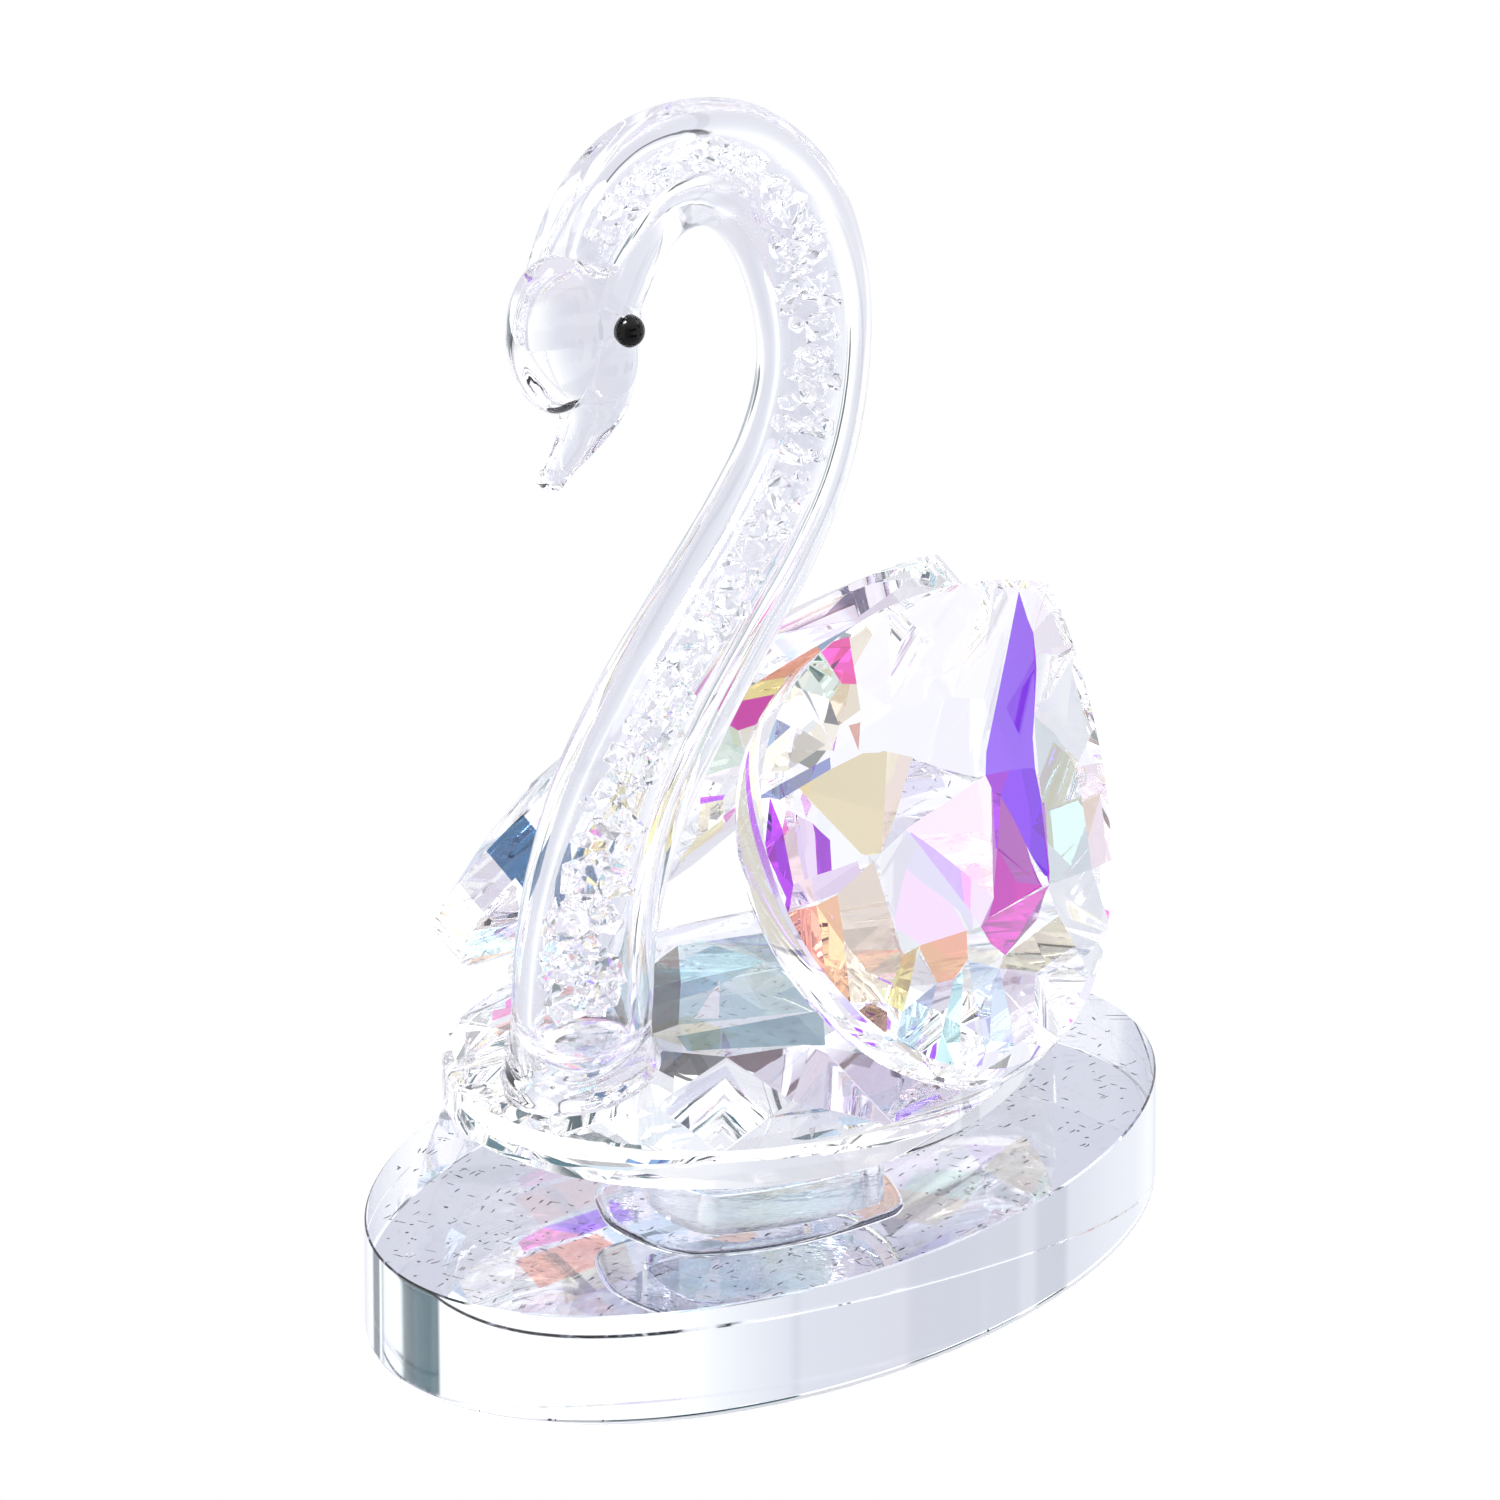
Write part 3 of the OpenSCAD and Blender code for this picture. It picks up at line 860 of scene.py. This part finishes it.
# Closed shells that are fused into one piece of glass: neck, brow, head, cheeks, beak and flange.
shells = []
neck_path = [neck_place((len(NECK) - 1) * k / NECK_RINGS)[:2] for k in range(NECK_RINGS + 1)]
buried_foot = (neck_path[0][0] - Vector((0, 0, 3)), NECK[0][3])
shells.append(stacked_rings(sweep([buried_foot] + neck_path, NECK_SIDES)))
# The brow, the head behind it and the two cheeks.
shells.append(ball(above_base(-36.0, 0, 95.4), (4.8, 5.0, 8.0)))
shells.append(ball(above_base(-31.8, 0, 95.2), (5.8, 6.0, 6.8)))
for side in (-1, 1):
    shells.append(ball(above_base(-32.8, side * 4.2, 92.6), (3.2, 2.3, 4.2)))
# The beak and its tip.
beak_path = smooth_path([
    (-31.0, 0, 93.0 + BASE_TOP, 5.2),
    (-30.0, 0, 89.6 + BASE_TOP, 4.4),
    (-30.0, 0, 86.6 + BASE_TOP, 3.4),
    (-32.6, 0, 83.5 + BASE_TOP, 2.1),
    (-36.4, 0, 81.0 + BASE_TOP, 1.25),
], steps=10)
shells.append(rounded_tube(beak_path))
shells.append(ball(above_base(-37.0, 0, 80.8), (1.5, 1.4, 1.2)))
FLANGE = Vector((NECK[0][0], NECK_SIDE, 16.1 + BASE_TOP))
FLANGE_SLOPE = Matrix.Rotation(math.radians(-17), 3, "Y")
FLANGE_SIDES = 96
# Radius and height above the sole.
FLANGE_PROFILE = [
    (8.1, -1.5), (8.15, -0.7), (8.05, -0.1), (7.8, 0.35), (7.5, 0.8), (7.25, 1.5), (7.08, 2.4), (7.0, 3.2),
]


def flange_ring(radius, height):
    return [
        FLANGE + FLANGE_SLOPE @ Vector((radius * math.cos(a), radius * math.sin(a), height))
        for a in circle(FLANGE_SIDES)
    ]


shells.append(stacked_rings([flange_ring(radius, height) for radius, height in FLANGE_PROFILE]))
# Faces of the fused mesh are marked with their shell's number, and these two after the last.
SOLE_MARK = len(shells)
BORE_MARK = len(shells) + 1


def shell_object(name, points, faces, slot_index):
    mesh = bpy.data.meshes.new(name)
    mesh.from_pydata([Vector(p) for p in points], [], faces)
    for _ in shells:
        mesh.materials.append(CLEAR)
    mesh.polygons.foreach_set("material_index", [slot_index] * len(faces))
    mesh.polygons.foreach_set("use_smooth", [True] * len(faces))
    mesh.update()
    return placed(name, mesh)


def normal_tree(mesh):
    """Finds the smooth normal of a shell at a point on it."""
    tree = KDTree(len(mesh.vertices))
    for v in mesh.vertices:
        tree.insert(v.co, v.index)
    tree.balance()
    normals = [v.normal.copy() for v in mesh.vertices]

    def look(point):
        near = tree.find_n(point, 4)
        if near[0][2] < 1e-4:
            return normals[near[0][1]]
        total = Vector((0, 0, 0))
        for _, index, distance in near:
            total += normals[index] / distance
        return total.normalized()

    return look


def fuse(solids):
    """One mesh from overlapping closed shells."""
    others = bpy.data.collections.new("shells")
    for thing in solids[1:]:
        others.objects.link(thing)
    union = solids[0].modifiers.new("fuse", "BOOLEAN")
    union.operation = "UNION"
    union.solver = "EXACT"
    union.operand_type = "COLLECTION"
    union.collection = others
    graph = bpy.context.evaluated_depsgraph_get()
    fused = bpy.data.meshes.new_from_object(solids[0].evaluated_get(graph))
    for thing in solids:
        bpy.data.objects.remove(thing)
    bpy.data.collections.remove(others)
    return fused


def cut_sole(work):
    """Cuts the flange flat underneath."""
    down = FLANGE_SLOPE @ Vector((0, 0, -1))
    everything = work.verts[:] + work.edges[:] + work.faces[:]
    cut = bmesh.ops.bisect_plane(work, geom=everything, plane_co=FLANGE, plane_no=down, clear_outer=True)
    rim = [e for e in cut["geom_cut"] if isinstance(e, bmesh.types.BMEdge)]
    for face in bmesh.ops.holes_fill(work, edges=rim)["faces"]:
        face.material_index = SOLE_MARK


def add_bore(work):
    """Adds the closed bore's wall, facing inward."""
    path = []
    for k in range(BORE_RINGS + 1):
        centre, _, bore = neck_place(BORE_START + (BORE_END - BORE_START) * k / BORE_RINGS)
        path.append((centre, bore))
    points, faces = rounded_tube(path)
    added = [work.verts.new(p) for p in points]
    for f in faces:
        work.faces.new([added[i] for i in reversed(f)]).material_index = BORE_MARK


def corner_normals(mesh, looks):
    """Smooth normals from each shell as it was before fusing, so its facets don't show."""
    normals = []
    for face in mesh.polygons:
        source = face.material_index
        for i in face.vertices:
            if source == SOLE_MARK:
                normals.append(face.normal.copy())
            elif source == BORE_MARK:
                normals.append(mesh.vertices[i].normal.copy())
            else:
                normals.append(looks[source](mesh.vertices[i].co))
    return normals


def build_neck():
    solids = [shell_object(f"shell_{i}", p, f, i) for i, (p, f) in enumerate(shells)]
    looks = [normal_tree(thing.data) for thing in solids]
    fused = fuse(solids)
    work = bmesh.new()
    work.from_mesh(fused)
    cut_sole(work)
    add_bore(work)
    work.normal_update()
    swan = bpy.data.meshes.new("neck_and_head_glass")
    work.to_mesh(swan)
    work.free()
    bpy.data.meshes.remove(fused)
    normals = corner_normals(swan, looks)
    swan.polygons.foreach_set("material_index", [0] * len(swan.polygons))
    swan.materials.clear()
    swan.materials.append(CLEAR)
    swan.transform(Matrix.Scale(MM, 4))
    swan.polygons.foreach_set("use_smooth", [True] * len(swan.polygons))
    swan.normals_split_custom_set(normals)
    declare(placed("neck_and_head_glass", swan), ["neck_tube", "head", "beak"])


build_neck()


# -------- chips and chatons
# A turn in radians, close enough for a random angle.
FULL_TURN = 6.28
CHIP_CORNERS = 9
# Turn from one corner of a chip to the next, which spreads them evenly over a ball.
SPREAD_TURN = 2.4
# Tries for each step along the neck's list; the first of them are for big chips.
TRIES = 3600
BIG_TRIES = 700
BIG_CHIP = (2.4, 3.2)
SMALL_CHIP = (1.4, 2.1)
# Chips are full size in a bore of this radius or more.
FULL_BORE = 3.5
# Least distance between two chips, as a share of their sizes together.
CLOSENESS = 0.74
WALL_GAP = 0.06
# Middles of chips keep this share of their size from the wall. They crowd to it, the lower the power
# the more.
FROM_WALL, CROWDING = 0.7, 0.35
LEAST_REACH = 0.3


def chip_shape(rng, centre, size, axis_point, ahead, limit):
    """A tumbled chip: the hull of points jittered on a ball, worn flat where it meets the bore wall."""
    work = bmesh.new()
    turn = rng.uniform(0, FULL_TURN)
    for k in range(CHIP_CORNERS):
        z = 1 - 2 * (k + 0.5) / CHIP_CORNERS
        a = turn + k * SPREAD_TURN
        r = math.sqrt(1 - z * z)
        jitter = Vector([rng.uniform(-0.3, 0.3) for _ in range(3)])
        way = Vector((r * math.cos(a), r * math.sin(a), z)) + jitter
        work.verts.new(way.normalized() * size * rng.uniform(0.82, 1.0))
    result = bmesh.ops.convex_hull(work, input=work.verts[:])
    loose = result["geom_interior"] + result["geom_unused"]
    spare = {g for g in loose if isinstance(g, bmesh.types.BMVert)}
    bmesh.ops.delete(work, geom=list(spare), context="VERTS")
    bmesh.ops.recalc_face_normals(work, faces=work.faces[:])
    tilt = Matrix.Rotation(rng.uniform(0, FULL_TURN), 3, "Z")
    tilt = tilt @ Matrix.Rotation(rng.uniform(0, FULL_TURN), 3, "X")
    stretch = Matrix.Diagonal((1.0, rng.uniform(0.7, 1.0), rng.uniform(0.65, 1.0)))
    work.verts.index_update()
    points = []
    for v in work.verts:
        p = centre + tilt @ (stretch @ v.co)
        along = ahead * (p - axis_point).dot(ahead)
        out = p - axis_point - along
        points.append(axis_point + along + out * min(1.0, limit / out.length))
    faces = [tuple(v.index for v in f.verts) for f in work.faces]
    work.free()
    return points, faces


def chips(node, start, end, seed):
    """Chips of many sizes packed in the bore, most of them against its wall."""
    rng = random.Random(seed)
    taken = []
    points, faces = [], []
    for attempt in range(int(TRIES * (end - start))):
        u = rng.uniform(start, end)
        centre, _, bore = neck_place(u)
        sizes = BIG_CHIP if attempt < BIG_TRIES * (end - start) else SMALL_CHIP
        size = rng.uniform(*sizes) * min(1.0, bore / FULL_BORE)
        reach = max(LEAST_REACH, bore - size * FROM_WALL)
        ahead = (neck_place(u + 0.02)[0] - neck_place(u - 0.02)[0]).normalized()
        across = Vector((0, 1, 0)).cross(ahead).normalized()
        side = ahead.cross(across)
        a = rng.uniform(0, FULL_TURN)
        r = reach * rng.uniform(0.25, 1.0) ** CROWDING
        spot = centre + across * r * math.cos(a) + side * r * math.sin(a)
        if any((spot - other).length < CLOSENESS * (size + s) for other, s in taken):
            continue
        taken.append((spot, size))
        p, f = chip_shape(rng, spot, size, centre, ahead, bore - WALL_GAP)
        base = len(points)
        points += p
        faces += [tuple(i + base for i in row) for row in f]
    piece(node + "_fill", points, faces, [CHIP], [node])


# Node, start and end along the neck, seed.
CHIP_GROUPS = (
    ("chips_foot", 1.05, 3.1, 11),
    ("chips_lower", 3.4, 5.6, 12),
    ("chips_middle", 5.9, 8.1, 13),
    ("chips_upper", 8.4, 10.4, 14),
    ("chips_arch", 10.7, 14.1, 15),
)
for group in CHIP_GROUPS:
    chips(*group)


# -------- eyes
for node in ("eye_left", "eye_right"):
    low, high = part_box(node)
    radius = (high.x - low.x) / 2 / MM
    points, faces = ball(node_centre(node), (radius,) * 3, 40, 20)
    piece(node + "_bead", points, faces, [BEAD], [node], smooth=True)

# -------- kept CAD pieces
for node, material, slot in (
    ("neck_glue", GLUE, "clear_glue"),
    ("wing_glue_left", GLUE, "clear_glue"),
    ("wing_glue_right", GLUE, "clear_glue"),
    ("chatons", CHIP, "crystal_chips"),
):
    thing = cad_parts[node]
    thing.data.materials.clear()
    thing.data.materials.append(material)

# -------- floor, light and camera
# Metres.
FLOOR_HALF = 6
FLOOR_DROP = 0.0002


def build_floor():
    """A plain white floor that only the camera sees, just below the pad."""
    mesh = bpy.data.meshes.new("floor")
    corners = [(x * FLOOR_HALF, y * FLOOR_HALF, 0) for x, y in ((-1, -1), (1, -1), (1, 1), (-1, 1))]
    mesh.from_pydata(corners, [], [(0, 1, 2, 3)])
    floor = placed("floor", mesh)
    floor.location.z = -FLOOR_DROP
    white = bpy.data.materials.new("floor_white")
    white.use_nodes = True
    white.node_tree.nodes.clear()
    glow = add(white.node_tree, "Emission", Color=(1, 1, 1, 1)).outputs[0]
    add(white.node_tree, "OutputMaterial", Surface=glow)
    mesh.materials.append(white)
    floor.visible_transmission = False
    floor.visible_glossy = False
    floor.visible_diffuse = False
    floor.visible_shadow = False


build_floor()

# Where the camera stands: degrees round from -Y, and degrees up.
AZIMUTH, ELEVATION = math.radians(-56.0), math.radians(20.5)
BACK = Vector((
    math.sin(AZIMUTH) * math.cos(ELEVATION),
    -math.cos(AZIMUTH) * math.cos(ELEVATION),
    math.sin(ELEVATION),
))
AHEAD = -Vector((BACK.x, BACK.y, 0)).normalized()
RIGHT = Vector((math.cos(AZIMUTH), math.sin(AZIMUTH), 0))
UP = BACK.cross(RIGHT)


def view_direction(right, up, back):
    return (RIGHT * right + UP * up + BACK * back).normalized()


def level_way(degrees):
    """A level direction, degrees to the right of the view."""
    a = math.radians(degrees)
    return RIGHT * math.sin(a) + AHEAD * math.cos(a)


def mirrored_view(place):
    """Where the camera looks by reflection in a stone's middle plane."""
    face = place.to_3x3() @ Vector((0, 0, 1))
    return 2 * BACK.dot(face) * face - BACK


# The studio round the horizon: degrees to the right of the view direction, and the tone there.
HORIZON = [
    (-180, (0.50, 0.50, 0.52)),
    (-165, (0.6, 0.6, 0.62)),
    (-150, (1.15, 1.15, 1.17)),
    (-60, (1.1, 1.1, 1.12)),
    (-48, (0.82, 0.84, 0.91)),
    (-28, (0.73, 0.75, 0.83)),
    (-6, (0.75, 0.755, 0.83)),
    (10, (0.80, 0.82, 0.90)),
    (26, (1.0, 1.01, 1.04)),
    (44, (1.25, 1.25, 1.25)),
    (140, (1.25, 1.25, 1.25)),
    (165, (0.6, 0.6, 0.62)),
    (180, (0.50, 0.50, 0.52)),
]
CEILING_TONE = (1.45, 1.45, 1.45)
TABLE_TONE = (0.80, 0.79, 0.87)
HIGHLIGHT = (60.0, 60.0, 60.0)
# Dark cards as high and as low as the camera looks: degrees to the right, solid and soft radius, tone.
# They draw the thin lines in the neck and the dark left end of the slab.
CARDS = (
    (62, 3, 5, (0.12, 0.15, 0.16)),
    (74, 3, 5, (0.45, 0.53, 0.55)),
    (86, 6, 9, (0.20, 0.27, 0.30)),
    (128, 9, 11, (0.06, 0.14, 0.17)),
    (147, 8, 12, (0.04, 0.08, 0.10)),
    (163, 8, 12, (0.14, 0.19, 0.20)),
)


class Studio:
    """A world painted by direction, each coat over the last. The camera itself sees plain white."""

    def __init__(self):
        world = bpy.data.worlds.new("studio")
        bpy.context.scene.world = world
        world.use_nodes = True
        self.tree = world.node_tree
        self.tree.nodes.clear()
        self.way = add(self.tree, "TexCoord").outputs["Generated"]
        self.colour = None

    def dot(self, direction):
        node = add(self.tree, "VectorMath")
        node.operation = "DOT_PRODUCT"
        feed(self.tree, node.inputs[0], self.way)
        feed(self.tree, node.inputs[1], tuple(direction))
        return node.outputs["Value"]

    def ramp(self, value, low, high):
        node = add(self.tree, "MapRange", Value=value, From_Min=low, From_Max=high)
        node.interpolation_type = "SMOOTHSTEP"
        return node.outputs["Result"]

    def paint(self, factor, tone):
        self.colour = blend(self.tree, factor, self.colour, (*tone, 1.0))

    def horizon(self, tones):
        turn = maths(self.tree, "ARCTAN2", self.dot(RIGHT), self.dot(AHEAD))
        share = add(self.tree, "MapRange", Value=turn, From_Min=-math.pi, From_Max=math.pi)
        around = add(self.tree, "ValToRGB", Fac=share.outputs["Result"])
        stops = around.color_ramp.elements
        while len(stops) > 1:
            stops.remove(stops[-1])
        stops[0].position = 0.0
        stops[0].color = (*tones[0][1], 1.0)
        for degrees, tone in tones[1:]:
            stops.new((degrees + 180) / 360).color = (*tone, 1.0)
        self.colour = around.outputs["Color"]

    def lobe(self, direction, inner, outer, tone):
        """A round light or card, solid to inner degrees and gone at outer."""
        near, far = math.cos(math.radians(inner)), math.cos(math.radians(outer))
        self.paint(self.ramp(self.dot(direction), far, near), tone)

    def strip(self, normal, forward, offset, half, soft, tone):
        """A band of directions at a set angle from a plane, on its forward side."""
        d = self.dot(normal)
        a = self.ramp(d, offset - half - soft, offset - half)
        b = self.ramp(d, offset + half + soft, offset + half)
        c = self.ramp(self.dot(forward), 0.0, 0.15)
        band = maths(self.tree, "MULTIPLY", a, b)
        self.paint(maths(self.tree, "MULTIPLY", band, c), tone)

    def finish(self):
        seen = add(self.tree, "LightPath").outputs["Is Camera Ray"]
        shown = blend(self.tree, seen, self.colour, (1, 1, 1, 1))
        shine = add(self.tree, "Background", Color=shown).outputs[0]
        add(self.tree, "OutputWorld", Surface=shine)


def build_world():
    studio = Studio()
    studio.horizon(HORIZON)
    studio.paint(studio.ramp(studio.dot((0, 0, 1)), 0.50, 0.80), CEILING_TONE)
    studio.paint(studio.ramp(studio.dot((0, 0, -1)), 0.45, 0.62), TABLE_TONE)
    # Thin dark strips on the camera's side and beyond, then softboxes at the upper left and in the
    # direction that the left wing mirrors.
    studio.strip(UP, BACK, 0.45, 0.02, 0.02, (0.35, 0.35, 0.38))
    studio.strip(UP, -BACK, 0.74, 0.02, 0.02, (0.15, 0.15, 0.17))
    studio.lobe(view_direction(-0.55, 0.75, 0.5), 9, 12, (5.0, 5.0, 5.0))
    studio.lobe(mirrored_view(WING_PLACE @ turned(-7, "X")), 8, 12, (3.4, 3.4, 3.4))
    for degrees, inner, outer, tone in CARDS:
        for lift in (-1, 1):
            level = level_way(degrees) * math.cos(ELEVATION)
            studio.lobe(level + Vector((0, 0, lift * math.sin(ELEVATION))), inner, outer, tone)
    # The two highlights of the bead eyes.
    studio.lobe(view_direction(-0.34, 0.84, 0.41), 10, 11, HIGHLIGHT)
    studio.lobe(view_direction(-0.39, -0.84, -0.37), 9, 10, HIGHLIGHT)
    studio.finish()


build_world()

# Metres from the top of the slab, and how far the camera is shifted to its left and up.
DISTANCE = 1.8
SHIFT_LEFT, SHIFT_UP = 0.00143, 0.03877
lens = bpy.data.cameras.new("camera")
camera = placed("camera", lens)
lens.sensor_width = 36.0
lens.lens = 432.0
lens.clip_start, lens.clip_end = 0.05, 20.0
camera.location = Vector((0, 0, BASE_TOP * MM)) + BACK * DISTANCE - RIGHT * SHIFT_LEFT + UP * SHIFT_UP
camera.rotation_mode = "QUATERNION"
camera.rotation_quaternion = BACK.to_track_quat("Z", "Y")
bpy.context.scene.camera = camera

scene = bpy.context.scene
scene.view_settings.view_transform = "Standard"
scene.view_settings.look = "None"
scene.cycles.max_bounces = 40
scene.cycles.transmission_bounces = 40
scene.cycles.glossy_bounces = 24
scene.cycles.transparent_max_bounces = 16
scene.cycles.caustics_refractive = True
scene.cycles.caustics_reflective = True
scene.cycles.blur_glossy = 0.0
scene.cycles.sample_clamp_indirect = 6.0
